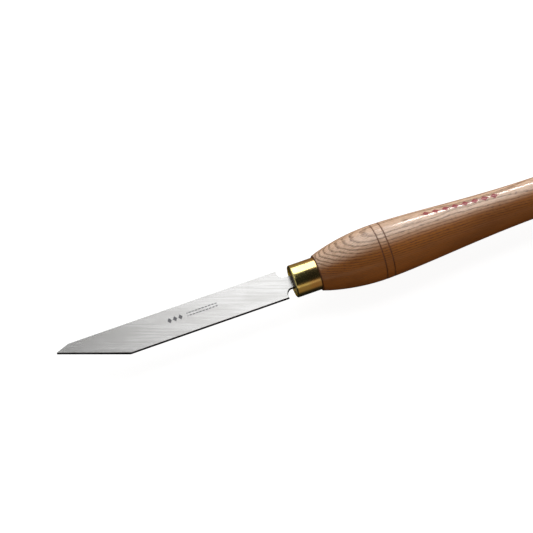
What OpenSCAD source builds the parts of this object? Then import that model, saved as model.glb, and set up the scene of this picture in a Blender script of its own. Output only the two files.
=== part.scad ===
// Thin parting tool for woodturning, in three pieces: a flat steel blade ground to a point, a brass
// ferrule and a turned ash handle. The tool lies along X with its point towards -X and the flat faces
// of its blade level. The origin is the middle of the ferrule, on the axis of the handle.

/* [Blade] */
// Width of the flat bar
blade_w = 25.4; // [19:0.1:25.4]
// Thickness of the flat bar, which is the width of the cut it makes
blade_t = 2.4; // [1.6:0.1:3.2]
// Length from the front of the ferrule to the point
blade_l = 185.3; // [120:0.1:220]
// Place of the point across the bar, where 0 is the near edge and 1 is the far edge
point_share = 0.83; // [0.5:0.01:0.95]
// Angle between each ground bevel and the length of the bar, in degrees
bevel_angle = 22; // [15:1:40]
// Gap between the shoulders of the bar and the ferrule, along the axis
shoulder_gap = 8; // [6:0.1:14]
// How much farther forward the far shoulder is than the near one
shoulder_slant = 2; // [0:0.1:3]
// Width of the neck that enters the ferrule
neck_w = 10.4; // [8:0.1:12]
// Length of the tang inside the wood, measured from the back of the ferrule
tang_l = 50; // [35:1:60]
// Width of the far end of the tang
tang_end_w = 6; // [4:0.1:8]

/* [Ferrule] */
// Outer diameter of the tube
ferrule_d = 25.4; // [22:0.1:26]
// Length of the tube
ferrule_l = 20; // [15:1:28]
// Wall of the tube
ferrule_wall = 1.2; // [0.8:0.1:2]
// Share of the wall taken up by the round front edge of the tube
rim_share = 0.9; // [0.3:0.05:0.95]
// Depth of the wood inside the mouth of the tube
mouth_depth = 1.5; // [0.5:0.1:4]

/* [Handle] */
// Length of the wood behind the ferrule
handle_l = 254; // [230:1:320]
// Diameter where the wood meets the ferrule
shoulder_d = 28; // [27:0.1:32]
// Diameter of the bulb
bulb_d = 43.2; // [38:0.1:48]
// Distance from the ferrule to the middle of the bulb
bulb_x = 49; // [35:1:60]
// Diameter of the waist
waist_d = 30.2; // [26:0.1:34]
// Distance from the ferrule to the waist
waist_x = 190; // [150:1:200]
// Diameter of the swelling at the butt
butt_d = 35.6; // [34:0.1:42]
// Length of the rounded end
butt_round = 15; // [8:1:20]

/* [Burnt lines] */
// Number of lines around the bulb
lines = 2; // [0:1:4]
// Distance from one line to the next
line_pitch = 6.4; // [4:0.1:9]
// Width of a line
line_w = 0.8; // [0.4:0.1:1.2]

/* [Hidden] */
$fn = 96;

fit_gap = 0.02;      // glue line around the tenon and the tang
tang_relief = 0.1;   // the tang is this much lower than the blade's flat faces
edge_break = 0.5;    // rounding of turned and filed edges
taper_ease = 0.82;   // below 1, the handle narrows soonest behind the bulb
neck_round_share = 0.8;
profile_step = 5;    // length of one band of the turned profile
arc_step = 10;       // degrees between the points of a round edge

front_x = -ferrule_l / 2;
back_x = ferrule_l / 2;
point_x = front_x - blade_l;
point_y = (point_share - 0.5) * blade_w;
heel_x = point_x + (point_y + blade_w / 2) / tan(bevel_angle);
toe_x = point_x + (blade_w / 2 - point_y) / tan(bevel_angle);
neck_round = min((blade_w - neck_w) / 2, shoulder_gap - shoulder_slant / 2) * neck_round_share;
tenon_r = ferrule_d / 2 - ferrule_wall - fit_gap;
butt_x = handle_l - butt_round;

// Place of the shoulder on one side of the bar; side is 1 for the far edge and -1 for the near edge
function shoulder_x(side) = front_x - shoulder_gap - side * shoulder_slant / 2;

// Radius of the turned wood at a distance behind the ferrule: a parabola up to the bulb, an eased
// cosine down to the waist and a plain cosine out to the butt
function wood_r(x) =
    x < bulb_x ? bulb_d / 2 - (bulb_d - shoulder_d) / 2 * pow(1 - x / bulb_x, 2) :
    x < waist_x ? waist_d / 2 + (bulb_d - waist_d) / 4
        * (1 + cos(180 * pow((x - bulb_x) / (waist_x - bulb_x), taper_ease))) :
    waist_d / 2 + (butt_d - waist_d) / 4 * (1 - cos(180 * (x - waist_x) / (butt_x - waist_x)));

// Turns an outline of [distance along X, radius] points about the axis of the tool
module turned(outline) {
    rotate([0, 90, 0]) rotate_extrude() polygon([for (p = outline) [p[1], p[0]]]);
}

// Tapered tang, and the slot that it sits in, which is larger all round by gap
module tang(gap) {
    half_root = neck_w / 2 + gap;
    half_end = tang_end_w / 2 + gap;
    half_t = blade_t / 2 - tang_relief + gap;
    end_x = back_x + tang_l + gap;
    translate([0, 0, -half_t]) linear_extrude(2 * half_t)
        polygon([[front_x, -half_root], [end_x, -half_end], [end_x, half_end], [front_x, half_root]]);
}

// Points of the round root on one side of the neck, from the shoulder to the neck; side is 1 or -1
function neck_root(side) =
    [for (a = [0:arc_step:90])
        [shoulder_x(side) + neck_round * (1 - cos(a)),
            side * (neck_w / 2 + neck_round * (1 - sin(a)))]];

module blade() {
    half = blade_w / 2;
    color("silver") union() {
        translate([0, 0, -blade_t / 2]) linear_extrude(blade_t)
            polygon(concat(
                [[point_x, point_y], [heel_x, -half], [shoulder_x(-1), -half]],
                neck_root(-1),
                [[front_x, -neck_w / 2], [front_x, neck_w / 2]],
                [for (i = [len(neck_root(1)) - 1:-1:0]) neck_root(1)[i]],
                [[shoulder_x(1), half], [toe_x, half]]));
        tang(0);
    }
}

module ferrule() {
    inner = ferrule_d / 2 - ferrule_wall;
    outer = ferrule_d / 2;
    rim_r = ferrule_wall * rim_share;
    color("goldenrod") turned(concat(
        [[front_x, inner]],
        [for (a = [0:arc_step:90])
            [front_x + rim_r * (1 - cos(a)), outer - rim_r * (1 - sin(a))]],
        [[back_x, outer], [back_x, inner]]));
}

// One burnt line: a shallow V cut around the bulb
module burnt_line(x) {
    depth = line_w / 2;
    r = wood_r(x - back_x);
    turned([[x - line_w / 2, r + fit_gap], [x, r - depth], [x + line_w / 2, r + fit_gap]]);
}

module handle() {
    color("burlywood") difference() {
        turned(concat(
            [[front_x + mouth_depth, 0], [front_x + mouth_depth, tenon_r], [back_x, tenon_r]],
            [for (a = [0:arc_step * 3:90])
                [back_x + edge_break * (1 - cos(a)), wood_r(0) - edge_break * (1 - sin(a))]],
            [for (x = [profile_step:profile_step:butt_x - 1]) [back_x + x, wood_r(x)]],
            [for (a = [0:arc_step:90])
                [back_x + butt_x + butt_round * sin(a), butt_d / 2 * cos(a)]]));
        tang(fit_gap);
        for (i = [0:1:lines - 1]) burnt_line(back_x + bulb_x + i * line_pitch);
    }
}

blade();
ferrule();
handle();
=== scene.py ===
import math

import bmesh
import bpy
import numpy as np
from mathutils import Matrix, Quaternion, Vector


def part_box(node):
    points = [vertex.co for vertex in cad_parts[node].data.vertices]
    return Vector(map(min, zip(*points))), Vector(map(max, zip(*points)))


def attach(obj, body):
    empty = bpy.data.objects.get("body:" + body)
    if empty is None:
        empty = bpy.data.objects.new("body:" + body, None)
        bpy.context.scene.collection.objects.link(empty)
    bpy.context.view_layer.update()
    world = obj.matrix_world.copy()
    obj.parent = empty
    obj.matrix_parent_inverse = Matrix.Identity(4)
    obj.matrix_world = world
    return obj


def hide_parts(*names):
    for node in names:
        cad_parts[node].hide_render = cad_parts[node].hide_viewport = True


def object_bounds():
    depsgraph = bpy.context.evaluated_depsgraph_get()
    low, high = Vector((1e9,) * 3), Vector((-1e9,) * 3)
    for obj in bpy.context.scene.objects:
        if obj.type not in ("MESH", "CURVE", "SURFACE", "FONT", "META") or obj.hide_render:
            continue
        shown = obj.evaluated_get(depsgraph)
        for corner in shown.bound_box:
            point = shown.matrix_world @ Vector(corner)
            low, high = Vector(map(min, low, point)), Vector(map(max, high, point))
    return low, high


# A woodturner's thin parting tool: a flat steel blade ground to a point, a brass ferrule and a turned
# ash handle. The tool lies along X with its point towards -X and its flats level. Lengths are in metres.

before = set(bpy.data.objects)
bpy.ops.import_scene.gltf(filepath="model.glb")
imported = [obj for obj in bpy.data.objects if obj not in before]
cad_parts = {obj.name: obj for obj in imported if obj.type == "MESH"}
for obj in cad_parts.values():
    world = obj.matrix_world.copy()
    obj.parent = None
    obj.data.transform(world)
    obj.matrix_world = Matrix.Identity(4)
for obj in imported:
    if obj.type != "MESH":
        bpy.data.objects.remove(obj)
cad_low, cad_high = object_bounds()

MM = 0.001

ferrule_low, ferrule_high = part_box("ferrule")
ferrule_radius = ferrule_high.z
ferrule_bore = min(math.hypot(v.co.y, v.co.z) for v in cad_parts["ferrule"].data.vertices)
blade_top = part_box("blade")[1].z
handle_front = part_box("handle")[0].x


# ---------------------------------------------------------------- mesh helpers

TURNED_SIDES = 144           # facets around every turned piece
POINT_RADIUS = 1e-7          # a ring smaller than this is a single point
MERGE_X = 0.02 * MM          # CAD vertices this close along X belong to one ring


def mesh_object(name, bm, smooth):
    """A new object from a bmesh, with its normals facing out."""
    mesh = bpy.data.meshes.new(name)
    bmesh.ops.recalc_face_normals(bm, faces=bm.faces)
    bm.to_mesh(mesh)
    bm.free()
    for polygon in mesh.polygons:
        polygon.use_smooth = smooth
    made = bpy.data.objects.new(name, mesh)
    bpy.context.scene.collection.objects.link(made)
    return made


def turned_piece(name, outline):
    """Turns (x, radius) points about the X axis. A radius of zero closes the piece with a point."""
    bm = bmesh.new()
    rings = []
    for x, radius in outline:
        if radius < POINT_RADIUS:
            rings.append([bm.verts.new((x, 0, 0))])
            continue
        turns = (math.tau * k / TURNED_SIDES for k in range(TURNED_SIDES))
        rings.append([bm.verts.new((x, radius * math.sin(a), radius * math.cos(a))) for a in turns])
    for near, far in zip(rings, rings[1:]):
        for k in range(TURNED_SIDES):
            after = (k + 1) % TURNED_SIDES
            corners = [
                near[k % len(near)],
                far[k % len(far)],
                far[after % len(far)],
                near[after % len(near)],
            ]
            bm.faces.new(list(dict.fromkeys(corners)))
    return mesh_object(name, bm, smooth=True)


def curve_point(corners, knots, t):
    """A point on the centripetal Catmull-Rom curve through four corners."""
    level = list(corners)
    for width in (1, 2):
        level = [
            ((knots[i + width] - t) * level[i] + (t - knots[i]) * level[i + 1])
            / (knots[i + width] - knots[i])
            for i in range(len(level) - 1)
        ]
    return ((knots[2] - t) * level[0] + (t - knots[1]) * level[1]) / (knots[2] - knots[1])


def curve_through(points, step, fine_step, fine_at, fine_reach):
    """Points a step apart along a smooth curve, or a fine step apart near each x in fine_at. The curve
    meets the axis squarely at its last point."""
    p = np.array(points, float)
    before = p[0] * 2 - p[1]
    mirrored = np.array([p[-2][0], -p[-2][1]])
    p = np.vstack([before, p, mirrored])
    found = []
    for i in range(1, len(p) - 2):
        a, b, c, d = p[i - 1:i + 3]
        low, high = min(b[0], c[0]), max(b[0], c[0])
        fine = any(low < x + fine_reach and high > x - fine_reach for x in fine_at)
        count = max(1, math.ceil(np.linalg.norm(c - b) / (fine_step if fine else step)))
        strides = [math.sqrt(np.linalg.norm(v - u)) + 1e-9 for u, v in ((a, b), (b, c), (c, d))]
        knots = np.cumsum([0] + strides)
        for k in range(count):
            t = knots[1] + (knots[2] - knots[1]) * k / count
            found.append(curve_point((a, b, c, d), knots, t))
    return found + [p[-2]]


def cad_outline(node, from_x):
    """(x, radius) of the CAD piece's rings behind from_x, in order along the tool. A ring less than half
    as wide as the next one belongs to a hole inside the piece and is left out."""
    widest = {}
    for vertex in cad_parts[node].data.vertices:
        x, y, z = vertex.co
        radius = math.hypot(y, z)
        key = round(x / MERGE_X)
        if x > from_x and radius > widest.get(key, (0, -1))[1]:
            widest[key] = (x, radius)
    rings = [widest[key] for key in sorted(widest)]
    beyond = rings[1:] + [(0, 0)]
    return [ring for ring, after in zip(rings, beyond) if ring[1] > after[1] / 2]


# ---------------------------------------------------------------- the handle

RING_STEP = 1.2 * MM         # length of one ring of the turned wood
FINE_STEP = 0.1 * MM         # the same across a burnt line
GROOVE_DIP = 0.2 * MM        # a CAD ring this far below its neighbours is the bottom of a burnt line
GROOVE_DEPTH = 0.35 * MM
GROOVE_HALF = 0.42 * MM      # half the width of a burnt line
GROOVE_WALL = 1.25           # how soon the side of a burnt line rises
SHOULDER_ROUND = 0.5 * MM    # rounding of the wood behind the ferrule
TENON_CHAMFER = 0.3 * MM

cad_rings = cad_outline("handle", ferrule_high.x + 0.05 * MM)
groove_x = [
    here[0] for before, here, after in zip(cad_rings, cad_rings[1:], cad_rings[2:])
    if here[1] < min(before[1], after[1]) - GROOVE_DIP
]
smooth_rings = [ring for ring in cad_rings if all(abs(ring[0] - x) > 2 * GROOVE_HALF for x in groove_x)]


def groove_drop(x):
    """How far the surface drops at x because of the burnt lines."""
    drop = 0.0
    for centre in groove_x:
        off = abs(x - centre) / GROOVE_HALF
        drop += GROOVE_DEPTH * math.exp(-(off * GROOVE_WALL) ** 4)
    return drop


def make_handle():
    """The turned handle, with its tenon inside the ferrule. It is as wide as the CAD piece."""
    start = (ferrule_high.x, smooth_rings[0][1] - SHOULDER_ROUND)
    curve = curve_through([start] + smooth_rings, RING_STEP, FINE_STEP, groove_x, 2.5 * GROOVE_HALF)
    snug = cad_high.y / max(radius for x, radius in curve)
    tenon = [
        (handle_front, 0),
        (handle_front, ferrule_bore / 2),
        (handle_front, ferrule_bore - TENON_CHAMFER),
        (handle_front + TENON_CHAMFER, ferrule_bore),
        (ferrule_high.x, ferrule_bore),
    ]
    turned = [(x, max(radius * snug - groove_drop(x), 0)) for x, radius in curve]
    piece = turned_piece("turned_handle", tenon + turned)
    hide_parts("handle")
    return piece


# ---------------------------------------------------------------- the ferrule

FRONT_ROLL = 1.1 * MM        # rounding of the outer front edge
FRONT_LIP = 0.2 * MM         # rounding of the inner front edge
BACK_ROLL = 0.3 * MM         # rounding of the outer back edge
ROLL_STEPS = 6
TUBE_BANDS = 12


def rounding(x, radius, size_x, size_radius, turns):
    """Points of a rounded corner of the outline. A size below zero turns the corner the other way."""
    return [(x + size_x * (1 - math.sin(a)), radius + size_radius * (1 - math.cos(a))) for a in turns]


def make_ferrule():
    """The brass tube, with its edges rounded."""
    front, back = ferrule_low.x, ferrule_high.x
    quarter = [math.pi / 2 * k / ROLL_STEPS for k in range(ROLL_STEPS + 1)]
    straight = back - front - FRONT_ROLL - BACK_ROLL
    outline = [(back, ferrule_bore), (front + FRONT_LIP, ferrule_bore)]
    outline += rounding(front, ferrule_bore, FRONT_LIP, FRONT_LIP, quarter[1:])
    outline += rounding(front, ferrule_radius, FRONT_ROLL, -FRONT_ROLL, quarter[::-1])
    for band in range(1, TUBE_BANDS + 1):
        outline.append((front + FRONT_ROLL + straight * band / TUBE_BANDS, ferrule_radius))
    outline += rounding(back, ferrule_radius, -BACK_ROLL, -BACK_ROLL, quarter[1:])
    outline += [(back, ferrule_bore)]
    piece = turned_piece("brass_ferrule", outline)
    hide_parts("ferrule")
    return piece


# ---------------------------------------------------------------- the blade

STRAIGHT_ARRIS = 0.4 * MM    # rounding of the corners along the near edge
GROUND_ARRIS = 0.6 * MM      # along the long bevel and the near side of the neck
FAR_ARRIS = 0.1 * MM         # and everywhere else, where they are just not sharp
SHARP_ANGLE = 0.7            # radians between the two faces of a corner that gets rounded


def arris_of(narrow_face):
    """Rounding of the corners between the flats and one narrow face."""
    if narrow_face.normal.y < -0.99:
        return STRAIGHT_ARRIS
    if narrow_face.normal.y < 0:
        return GROUND_ARRIS
    return FAR_ARRIS


def ease_corners(bm, width):
    """Rounds the corners in front of the ferrule that get this width."""
    corners = []
    for edge in bm.edges:
        ends = [v.co for v in edge.verts]
        on_flat = all(abs(abs(p.z) - blade_top) < 0.01 * MM for p in ends)
        ahead = all(p.x < ferrule_low.x - 0.1 * MM for p in ends)
        if on_flat and ahead and edge.is_manifold and edge.calc_face_angle() > SHARP_ANGLE:
            narrow = min(edge.link_faces, key=lambda face: abs(face.normal.z))
            if arris_of(narrow) == width:
                corners.append(edge)
    bmesh.ops.bevel(bm, geom=corners, offset=width, segments=3, profile=0.5, affect="EDGES")


def make_blade():
    """The flat blade: the CAD piece with its corners eased."""
    bm = bmesh.new()
    bm.from_mesh(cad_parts["blade"].data)
    bmesh.ops.remove_doubles(bm, verts=bm.verts, dist=0.002 * MM)
    bmesh.ops.dissolve_limit(bm, angle_limit=math.radians(1), verts=bm.verts, edges=bm.edges)
    bmesh.ops.recalc_face_normals(bm, faces=bm.faces)
    for width in (STRAIGHT_ARRIS, GROUND_ARRIS, FAR_ARRIS):
        ease_corners(bm, width)
    piece = mesh_object("ground_blade", bm, smooth=False)
    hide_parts("blade")
    return piece


# ---------------------------------------------------------------- material helpers

class Field:
    """A number that varies over a surface, built from nodes by ordinary arithmetic."""

    def __init__(self, tree, socket):
        self.tree = tree
        self.socket = socket

    def combine(self, operation, *others):
        made = self.tree.nodes.new("ShaderNodeMath")
        made.operation = operation
        for slot, value in zip(made.inputs, (self, *others)):
            if isinstance(value, Field):
                self.tree.links.new(value.socket, slot)
            else:
                slot.default_value = value
        return Field(self.tree, made.outputs[0])

    def __add__(self, other):
        return self.combine("ADD", other)

    def __sub__(self, other):
        return self.combine("SUBTRACT", other)

    def __mul__(self, other):
        return self.combine("MULTIPLY", other)

    def __truediv__(self, other):
        return self.combine("DIVIDE", other)

    def __abs__(self):
        return self.combine("ABSOLUTE")

    def power(self, exponent):
        return self.combine("POWER", exponent)

    def fraction(self):
        return self.combine("FRACT")

    def floor(self):
        return self.combine("FLOOR")

    def larger(self, other):
        return self.combine("MAXIMUM", other)

    def smaller(self, other):
        return self.combine("MINIMUM", other)

    def rise(self, low, high):
        """0 below low, 1 above high and smooth between."""
        made = self.tree.nodes.new("ShaderNodeMapRange")
        made.interpolation_type = "SMOOTHSTEP"
        self.tree.links.new(self.socket, made.inputs["Value"])
        made.inputs["From Min"].default_value = low
        made.inputs["From Max"].default_value = high
        return Field(self.tree, made.outputs["Result"])

    def fall(self, low, high):
        """1 below low, 0 above high and smooth between."""
        return self.rise(low, high) * -1.0 + 1.0


def coordinates(tree, output):
    """The x, y and z of one output of the texture coordinates."""
    where = tree.nodes.new("ShaderNodeTexCoord")
    split = tree.nodes.new("ShaderNodeSeparateXYZ")
    tree.links.new(where.outputs[output], split.inputs[0])
    return [Field(tree, socket) for socket in split.outputs]


def noise(x, y, z, lengths, detail=2.0, roughness=0.5, seed=0.0):
    """Smooth noise from 0 to 1 whose blotches have the given lengths along x, y and z."""
    tree = x.tree
    joined = tree.nodes.new("ShaderNodeCombineXYZ")
    for field, length, slot in zip((x, y, z), lengths, joined.inputs):
        tree.links.new((field * (1 / length) + seed).socket, slot)
    made = tree.nodes.new("ShaderNodeTexNoise")
    made.inputs["Scale"].default_value = 1.0
    made.inputs["Detail"].default_value = detail
    made.inputs["Roughness"].default_value = roughness
    tree.links.new(joined.outputs[0], made.inputs["Vector"])
    return Field(tree, made.outputs[0])


def random_by(field):
    """A random number from 0 to 1 for each value of a stepped field."""
    made = field.tree.nodes.new("ShaderNodeTexWhiteNoise")
    made.noise_dimensions = "1D"
    field.tree.links.new(field.socket, made.inputs["W"])
    return Field(field.tree, made.outputs["Value"])


def blend_colours(factor, under, over):
    """under where factor is 0, over where it is 1. Each is a colour or the result of this function."""
    tree = factor.tree
    made = tree.nodes.new("ShaderNodeMix")
    made.data_type = "RGBA"
    tree.links.new(factor.socket, made.inputs["Factor"])
    slots = {slot.name: slot for slot in made.inputs if slot.type == "RGBA"}
    for colour, slot in ((under, slots["A"]), (over, slots["B"])):
        if isinstance(colour, tuple):
            slot.default_value = (*colour, 1)
        else:
            tree.links.new(colour, slot)
    return [slot for slot in made.outputs if slot.type == "RGBA"][0]


def bump(field, height, strength):
    """A normal from a height field, whose 1 stands height metres above its 0."""
    made = field.tree.nodes.new("ShaderNodeBump")
    made.inputs["Strength"].default_value = strength
    made.inputs["Distance"].default_value = height
    field.tree.links.new(field.socket, made.inputs["Height"])
    return made.outputs["Normal"]


def new_material(name, **settings):
    """A material and its shader, with the given constant inputs."""
    made = bpy.data.materials.new(name)
    made.use_nodes = True
    tree = made.node_tree
    shader = tree.nodes["Principled BSDF"]
    for key, value in settings.items():
        shader.inputs[key.replace("_", " ")].default_value = value
    return made, tree, shader


def lozenge(across, along, half_across, half_along):
    """1 inside a diamond around the origin, with a slightly soft edge."""
    size = abs(across) * (1 / half_across) + abs(along) * (1 / half_along)
    return size.fall(0.88, 1.0)


# ---------------------------------------------------------------- ash wood

RING_WIDTH = 1.35 * MM       # one year's growth
RING_SHIFT = -0.15 * MM      # moves the rings through the wood
PITH_DISTANCE = 110 * MM     # from the handle to the middle of the tree
RING_LEAN = math.radians(19)  # the growth rings face this far from +Z towards +Y
GRAIN_SLOPE = 0.055          # the rings run out towards the butt at this slope

DEEP_SHADE_WOOD = (0.40, 0.13, 0.018), (0.56, 0.19, 0.028)     # across the rings, in blotches of two shades; painted shade on the side away from the lights
BUTT_SHADE_WOOD = (0.30, 0.095, 0.012)                       # painted shade: the deep side darker towards the butt
PALE_LIT_WOOD = (0.81, 0.55, 0.375), (0.90, 0.635, 0.455)    # along the rings, in blotches of two shades; painted light on the upper side
FIBRE_BROWN = (0.42, 0.17, 0.05)
EARLY_WOOD = (0.22, 0.080, 0.014)
PORE_BROWN = (0.10, 0.035, 0.01)
# the burnt lines, and painted shade on the wood behind the ferrule
SCORCH_AND_SHADE_BROWN = (0.14, 0.040, 0.006)
ORNAMENT_RED = (0.30, 0.005, 0.014)
SEAM_SHADE_WIDTH = 1.1 * MM        # painted shade on the front end of the wood, behind the ferrule

ORNAMENT_X = ferrule_high.x + 119 * MM   # the red ornament's middle
ORNAMENT_TURN = math.radians(19)         # and how far round from +Z it is
ORNAMENT_SLOPE = 0.045                   # it slants across the handle at this slope
ORNAMENT_PITCH = 7.8 * MM
ORNAMENT_HALF = 2.9 * MM                 # half the height of a lozenge
ORNAMENT_COUNT = 8
RULE_HALF = 0.4 * MM                     # half the width of the rule through the lozenges


def growth(x, y, z):
    """Early wood (the dark, porous start of each year's ring) from 0 to 1, that ring's number, and the
    two coordinates square to the grain: out of the tree and along the ring."""
    up = z * math.cos(RING_LEAN) + y * math.sin(RING_LEAN) + x * GRAIN_SLOPE
    side = y * math.cos(RING_LEAN) - z * math.sin(RING_LEAN)
    bend = noise(x, up, side, (90 * MM, 26 * MM, 26 * MM), detail=1.0) * (3.5 * MM)
    wobble = noise(x, up, side, (16 * MM, 4 * MM, 4 * MM), detail=2.0, seed=7.0) * (1.1 * MM)
    out = up + PITH_DISTANCE
    depth = (out * out + side * side).power(0.5) + bend + wobble + RING_SHIFT
    ring = depth / RING_WIDTH
    phase = ring.fraction()
    early = phase.fall(0.08, 0.45).larger(phase.rise(0.88, 1.0))
    return early, ring.floor(), up, side


def red_ornament(x, y, z):
    """A slanting row of lozenges on a rule, printed along the upper side of the handle."""
    step = (x - ORNAMENT_X) / ORNAMENT_PITCH
    slant = step * (ORNAMENT_SLOPE * ORNAMENT_PITCH)
    across = y * math.cos(ORNAMENT_TURN) - z * math.sin(ORNAMENT_TURN) + slant
    outward = z * math.cos(ORNAMENT_TURN) + y * math.sin(ORNAMENT_TURN)
    inside = abs(step).fall(ORNAMENT_COUNT / 2 - 0.01, ORNAMENT_COUNT / 2)
    along = ((step + ORNAMENT_COUNT / 2).fraction() - 0.5) * ORNAMENT_PITCH
    lozenges = lozenge(across, along, ORNAMENT_HALF, 0.42 * ORNAMENT_PITCH)
    rule = abs(across).fall(RULE_HALF - 0.1 * MM, RULE_HALF)
    return lozenges.larger(rule) * inside * outward.rise(0, 1 * MM)


def scorched_lines(x):
    """1 on the burnt lines and fainter just beside them."""
    scorch = None
    for centre in groove_x:
        off = abs(x - centre)
        line = off.fall(0.25 * MM, 0.6 * MM).larger(off.fall(0.4 * MM, 1.2 * MM) * 0.35)
        scorch = line if scorch is None else scorch.larger(line)
    return scorch


def ash_wood():
    """Lacquered ash: looped and straight rings, pores, fibres, scorched lines and printed ornament.
    Faces that lie along the growth rings are pale and figured; faces across them are deep and plain. This
    paints light on the upper side of the handle and shade on the side below, with more painted shade
    towards the butt and painted shade on the wood just behind the ferrule."""
    made, tree, shader = new_material("ash_wood", Roughness=0.6, IOR=1.45, Coat_IOR=1.5)
    x, y, z = coordinates(tree, "Object")
    normal_y, normal_z = coordinates(tree, "Normal")[1:]
    early, ring, up, side = growth(x, y, z)
    facing = abs(normal_z * math.cos(RING_LEAN) + normal_y * math.sin(RING_LEAN))
    # painted light and shade: pale on the upper side towards the lights, deep below it, and less pale
    # towards the butt
    lit_side = (facing + x * -0.5).rise(0.6, 0.93)
    # painted shade: the grain is drawn fainter on the deep side
    figured = facing.rise(0.2, 0.6) * 0.65 + 0.35

    strength = random_by(ring) * 0.4 + 0.6
    fibre_lengths = (11 * MM, 0.9 * MM, 0.9 * MM)
    fibre = noise(x, up, side, fibre_lengths, detail=3.0, roughness=0.65, seed=3.0)
    pores = noise(x, up, side, (3 * MM, 0.6 * MM, 0.6 * MM), detail=1.0, seed=11.0).rise(0.5, 0.62)
    cloud = noise(x, y, z, (45 * MM, 12 * MM, 12 * MM), detail=3.0, seed=5.0)
    dark = (early * strength * (fibre * 0.8 + 0.55) * figured).smaller(1.0)
    pored = pores * (early * 0.7 + 0.25) * figured

    deep_shade = blend_colours(cloud.rise(0.35, 0.65), *DEEP_SHADE_WOOD)
    light = blend_colours(cloud.rise(0.3, 0.7), *PALE_LIT_WOOD)
    # painted shade: the deep side darkens towards the butt
    deep_shade = blend_colours(x.rise(70 * MM, 150 * MM) * 0.4, deep_shade, BUTT_SHADE_WOOD)
    colour = blend_colours(lit_side, deep_shade, light)
    colour = blend_colours(fibre.fall(0.32, 0.62) * 0.45, colour, FIBRE_BROWN)
    colour = blend_colours(dark * 0.85, colour, EARLY_WOOD)
    colour = blend_colours(pored * 0.7, colour, PORE_BROWN)

    scorch = scorched_lines(x)
    # painted shade on the wood just behind the ferrule
    seam_shade = (x - ferrule_high.x).fall(0.2 * MM, SEAM_SHADE_WIDTH)
    scorch_and_seam_shade = (scorch * (fibre * 0.5 + 0.6)).larger(seam_shade).smaller(1.0)
    colour = blend_colours(scorch_and_seam_shade, colour, SCORCH_AND_SHADE_BROWN)
    ornament = red_ornament(x, y, z) * (fibre * 0.5 + 0.7).smaller(1.0)
    colour = blend_colours(ornament, colour, ORNAMENT_RED)

    tree.links.new(colour, shader.inputs["Base Color"])
    tree.links.new((ornament * -0.5 + 0.55).socket, shader.inputs["Coat Weight"])
    dull = cloud * 0.12 + pored * 0.15 + scorch * 0.3 + 0.08
    tree.links.new(dull.socket, shader.inputs["Coat Roughness"])
    relief = fibre * 0.35 + pored * -1.0 + early * -0.3
    tree.links.new(bump(relief, 0.03 * MM, 0.5), shader.inputs["Normal"])
    soft = noise(x, y, z, (9 * MM, 5 * MM, 5 * MM), detail=2.0, seed=9.0)
    tree.links.new(bump(soft + relief * 0.2, 0.03 * MM, 0.4), shader.inputs["Coat Normal"])
    return made


# ---------------------------------------------------------------- brass

CLEAN_BRASS = (0.86, 0.74, 0.30)
DULL_BRASS = (0.80, 0.65, 0.22)
COPPERY_BRASS = (0.84, 0.52, 0.22)       # towards the wood
# painted shade along the back edge of the ferrule
JOINT_SHADE = (0.16, 0.085, 0.03)
JOINT_SHADE_WIDTH = 0.5 * MM                   # painted shade where the brass meets the wood


def polished_brass():
    """Brass polished in the lathe: fine rings around it, a little tarnish, coppery towards the wood, and
    painted shade at the back where it meets the wood.
    """
    made, tree, shader = new_material("polished_brass", Metallic=1.0)
    x, y, z = coordinates(tree, "Object")
    turned = noise(x, y, z, (0.12 * MM, 60 * MM, 60 * MM), detail=3.0, roughness=0.6)
    tarnish = noise(x, y, z, (7 * MM, 5 * MM, 5 * MM), detail=4.0, roughness=0.6, seed=2.0)
    patchy = tarnish * 0.6 + 0.3
    colour = blend_colours(tarnish.rise(0.35, 0.75), CLEAN_BRASS, DULL_BRASS)
    from_back = (x - ferrule_high.x) * -1.0
    # painted shade at the joint with the wood
    joint_shade = from_back.fall(0.0, JOINT_SHADE_WIDTH) * patchy
    colour = blend_colours(x.rise(-2 * MM, 4 * MM) * patchy, colour, COPPERY_BRASS)
    colour = blend_colours(joint_shade.smaller(1.0), colour, JOINT_SHADE)
    tree.links.new(colour, shader.inputs["Base Color"])
    tree.links.new((tarnish * 0.12 + turned * 0.08 + 0.07).socket, shader.inputs["Roughness"])
    tree.links.new(bump(turned, 0.004 * MM, 0.5), shader.inputs["Normal"])
    return made


# ---------------------------------------------------------------- steel

GRIND_TURN = math.radians(-22)           # the grinding lines run parallel to the long bevel
STEEL = (0.33, 0.33, 0.327), (0.415, 0.415, 0.413)       # in fine lines of two shades
STREAK_GREY = (0.235, 0.233, 0.225)
CLOUD_GREY = (0.30, 0.297, 0.29)
ETCHED_GREY = (0.05, 0.05, 0.055)
EDGE_SHADE_GREY = (0.035, 0.033, 0.032)        # painted shade: the narrow faces are darkened

ETCH_X = ferrule_low.x - 78 * MM         # middle of the etched ornament
ETCH_Y = 2.6 * MM
ETCHED_LOZENGES = -15 * MM               # middle of the lozenges, from the ornament's middle
ETCHED_LINES = 6.5 * MM                  # and of the dashed lines
ETCHED_PITCH = 4.3 * MM                  # from one lozenge to the next
DASH_PITCH = 2.6 * MM


def etched_ornament(x, y, z):
    """Three upright lozenges and two dashed lines etched in the upper flat."""
    across = y - ETCH_Y
    along = x - (ETCH_X + ETCHED_LOZENGES)
    row = along.fall(6.4 * MM, 6.5 * MM) * along.rise(-6.5 * MM, -6.4 * MM)
    within = ((along / ETCHED_PITCH + 0.5).fraction() - 0.5) * ETCHED_PITCH
    lozenges = lozenge(across, within, 2.6 * MM, 1.8 * MM) * row
    tail = x - (ETCH_X + ETCHED_LINES)
    span = abs(tail).fall(12 * MM, 12.1 * MM)
    dashes = (tail / DASH_PITCH).fraction().fall(0.68, 0.74)
    lines = abs(abs(across) - 1.25 * MM).fall(0.4 * MM, 0.5 * MM)
    return lozenges.larger(lines * dashes * span) * z.rise(0, 0.5 * MM)


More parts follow.
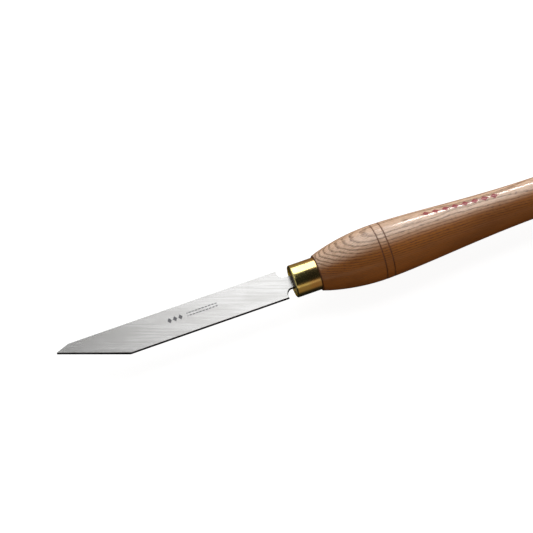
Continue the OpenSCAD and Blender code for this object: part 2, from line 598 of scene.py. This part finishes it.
def ground_steel():
    """Ground tool steel: slanting grinding lines on the flats, painted shade on the narrow edges, and
    etching.
    """
    made, tree, shader = new_material("ground_steel", Metallic=0.8)
    x, y, z = coordinates(tree, "Object")
    normal_z = coordinates(tree, "Normal")[2]
    along = x * math.cos(GRIND_TURN) + y * math.sin(GRIND_TURN)
    across = y * math.cos(GRIND_TURN) - x * math.sin(GRIND_TURN)
    lines = noise(along, across, z, (45 * MM, 0.3 * MM, 2 * MM), detail=4.0, roughness=0.65)
    streaks = noise(along, across, z, (38 * MM, 1.3 * MM, 4 * MM), detail=3.0, seed=4.0)
    cloud = noise(along, across, z, (26 * MM, 7 * MM, 8 * MM), detail=4.0, seed=8.0)
    flat = abs(normal_z).rise(0.9, 0.99)

    colour = blend_colours(lines.rise(0.3, 0.7), *STEEL)
    colour = blend_colours(streaks.rise(0.45, 0.75) * 0.35, colour, STREAK_GREY)
    colour = blend_colours(cloud.rise(0.4, 0.65) * 0.45, colour, CLOUD_GREY)
    colour = blend_colours(etched_ornament(x, y, z) * 0.92, colour, ETCHED_GREY)
    # painted shade: the narrow faces are painted almost black
    colour = blend_colours(flat, EDGE_SHADE_GREY, colour)
    tree.links.new(colour, shader.inputs["Base Color"])
    tree.links.new((lines * 0.08 + cloud * 0.06 + 0.17).socket, shader.inputs["Roughness"])
    tree.links.new(bump(lines * 0.7 + streaks * 0.3, 0.012 * MM, 0.6), shader.inputs["Normal"])
    return made


# ---------------------------------------------------------------- the stage

FLOOR_HALF = 12.0            # metres from the middle of the floor to its edges
FLOOR_GREY = 0.30
FLOOR_GLOW = 0.93


def make_floor(level):
    """A plain pale floor under the tool. It glows, so the shadows on it stay faint."""
    bm = bmesh.new()
    signs = ((-1, -1), (1, -1), (1, 1), (-1, 1))
    bm.faces.new([bm.verts.new((FLOOR_HALF * sx, FLOOR_HALF * sy, level)) for sx, sy in signs])
    floor = mesh_object("floor", bm, smooth=False)
    made, tree, shader = new_material("pale_floor", Roughness=0.9, Specular_IOR_Level=0.0)
    shader.inputs["Base Color"].default_value = (FLOOR_GREY, FLOOR_GREY, FLOOR_GREY, 1)
    shader.inputs["Emission Color"].default_value = (1, 1, 1, 1)
    shader.inputs["Emission Strength"].default_value = FLOOR_GLOW
    floor.data.materials.append(made)
    floor.visible_diffuse = False
    floor.visible_glossy = False


def softbox(name, turn, spread, from_x, to_x, distance, radiance,
            colour=(1, 1, 1), diffuse=True, glossy=True):
    """A flat light facing the tool's axis, turned by degrees from +Z towards +Y and as wide as spread."""
    light = bpy.data.lights.new(name, "AREA")
    light.shape = "RECTANGLE"
    light.size = to_x - from_x
    light.size_y = 2 * distance * math.tan(math.radians(spread / 2))
    light.energy = radiance * math.pi * light.size * light.size_y
    light.color = colour
    lamp = bpy.data.objects.new(name, light)
    bpy.context.scene.collection.objects.link(lamp)
    around = Matrix.Rotation(math.radians(-turn), 3, "X")
    lamp.location = around @ Vector(((from_x + to_x) / 2, 0, distance))
    lamp.rotation_euler = (math.radians(-turn), 0, 0)
    lamp.visible_camera = False
    lamp.visible_diffuse = diffuse
    lamp.visible_glossy = glossy


def light_studio():
    """A large softbox above and behind, brighter towards the butt, with narrower halves in its
    reflections, two bright strips for the gloss on the wood, a card overhead and warm light in front."""
    softbox("near_half", 46, 66, 0.0, 1.5, 1.5, 2.9, glossy=False)
    softbox("far_half", 46, 66, -0.9, 0.0, 1.5, 0.36, glossy=False)
    softbox("near_sheen", 44, 53, 0.0, 1.5, 1.5, 2.9, diffuse=False)
    softbox("far_sheen", 44, 53, -0.9, 0.0, 1.5, 0.36, diffuse=False)
    softbox("hot_spot", 63, 7, 0.46, 0.62, 1.44, 38.0, diffuse=False)
    softbox("strip", 60, 9, 0.62, 1.3, 1.44, 1.6, diffuse=False)
    softbox("top_card", -2, 22, -0.6, 0.02, 1.5, 0.8, diffuse=False)
    softbox("low_fill", -80, 22, -1.3, 1.3, 1.8, 0.45, colour=(1.0, 0.86, 0.7), glossy=False)
    softbox("front_card", -78, 16, -1.2, 0.22, 1.5, 0.42, colour=(1.0, 0.72, 0.38))
    bpy.context.scene.view_settings.view_transform = "Standard"


DARK_TOWARDS = Vector((0.15, -0.52, 0.84))    # a black flag hangs here, over the camera
DARK_ROOM = (0.014, 0.014, 0.013)
WARM_ROOM = (0.24, 0.155, 0.085)
NEUTRAL_ROOM = (0.40, 0.39, 0.38)
BRIGHT_ENDS = (0.75, 0.74, 0.72)


def make_world():
    """A dim room: warm low down, neutral above, dark below and around one black flag. Reflections show
    it brighter beyond the two ends of the tool. The camera sees plain white."""
    world = bpy.data.worlds.new("studio")
    bpy.context.scene.world = world
    world.use_nodes = True
    tree = world.node_tree
    x, y, z = coordinates(tree, "Generated")
    seen = tree.nodes.new("ShaderNodeLightPath")

    warm = z.rise(-0.85, -0.45) * z.fall(0.1, 0.6) * x.rise(-0.3, 0.05)
    flag = x * DARK_TOWARDS.x + y * DARK_TOWARDS.y + z * DARK_TOWARDS.z
    neutral = z.rise(-0.1, 0.2) * flag.fall(0.62, 0.84)
    ends = x.rise(0.3, 0.55).larger(x.fall(-0.45, -0.25) * 0.5) * z.rise(0.0, 0.15)
    mirrored = ends * Field(tree, seen.outputs["Is Glossy Ray"])
    shade = blend_colours(warm, DARK_ROOM, WARM_ROOM)
    shade = blend_colours(neutral * 0.5, shade, NEUTRAL_ROOM)
    shade = blend_colours(mirrored * 0.7, shade, BRIGHT_ENDS)

    room = tree.nodes["Background"]
    tree.links.new(shade, room.inputs["Color"])
    white = tree.nodes.new("ShaderNodeBackground")
    white.inputs["Color"].default_value = (1, 1, 1, 1)
    choose = tree.nodes.new("ShaderNodeMixShader")
    tree.links.new(seen.outputs["Is Camera Ray"], choose.inputs[0])
    tree.links.new(room.outputs[0], choose.inputs[1])
    tree.links.new(white.outputs[0], choose.inputs[2])
    tree.links.new(choose.outputs[0], tree.nodes["World Output"].inputs["Surface"])


# ---------------------------------------------------------------- the camera

SENSOR = 36.0                        # mm
LENS = 162.0                         # mm
VIEW_TURN = math.radians(14.5)       # the camera looks this far from +Y towards +X
VIEW_DOWN = math.radians(58.1)       # and this far down
VIEW_ROLL = math.radians(-6.77)
VIEW_DISTANCE = 1.8196
AIM = Vector((ferrule_low.x - 13.3 * MM, 20.3 * MM, 0))


def make_camera():
    """The scene's camera, in front of the tool and above it."""
    data = bpy.data.cameras.new("camera")
    data.lens = LENS
    data.sensor_width = SENSOR
    data.clip_start, data.clip_end = 0.01, 100
    camera = bpy.data.objects.new("camera", data)
    bpy.context.scene.collection.objects.link(camera)
    ahead = Vector((
        math.sin(VIEW_TURN) * math.cos(VIEW_DOWN),
        math.cos(VIEW_TURN) * math.cos(VIEW_DOWN),
        -math.sin(VIEW_DOWN),
    ))
    camera.location = AIM - ahead * VIEW_DISTANCE
    camera.rotation_mode = "QUATERNION"
    camera.rotation_quaternion = ahead.to_track_quat("-Z", "Y") @ Quaternion((0, 0, 1), VIEW_ROLL)
    bpy.context.scene.camera = camera


# ---------------------------------------------------------------- assembly

make_camera()
light_studio()
make_world()
make_floor(cad_low.z)
for piece, material, slot in (
    (make_blade(), ground_steel(), "ground_steel"),
    (make_ferrule(), polished_brass(), "brass"),
    (make_handle(), ash_wood(), "ash_wood"),
):
    piece.data.materials.append(material)
    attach(piece, "root")
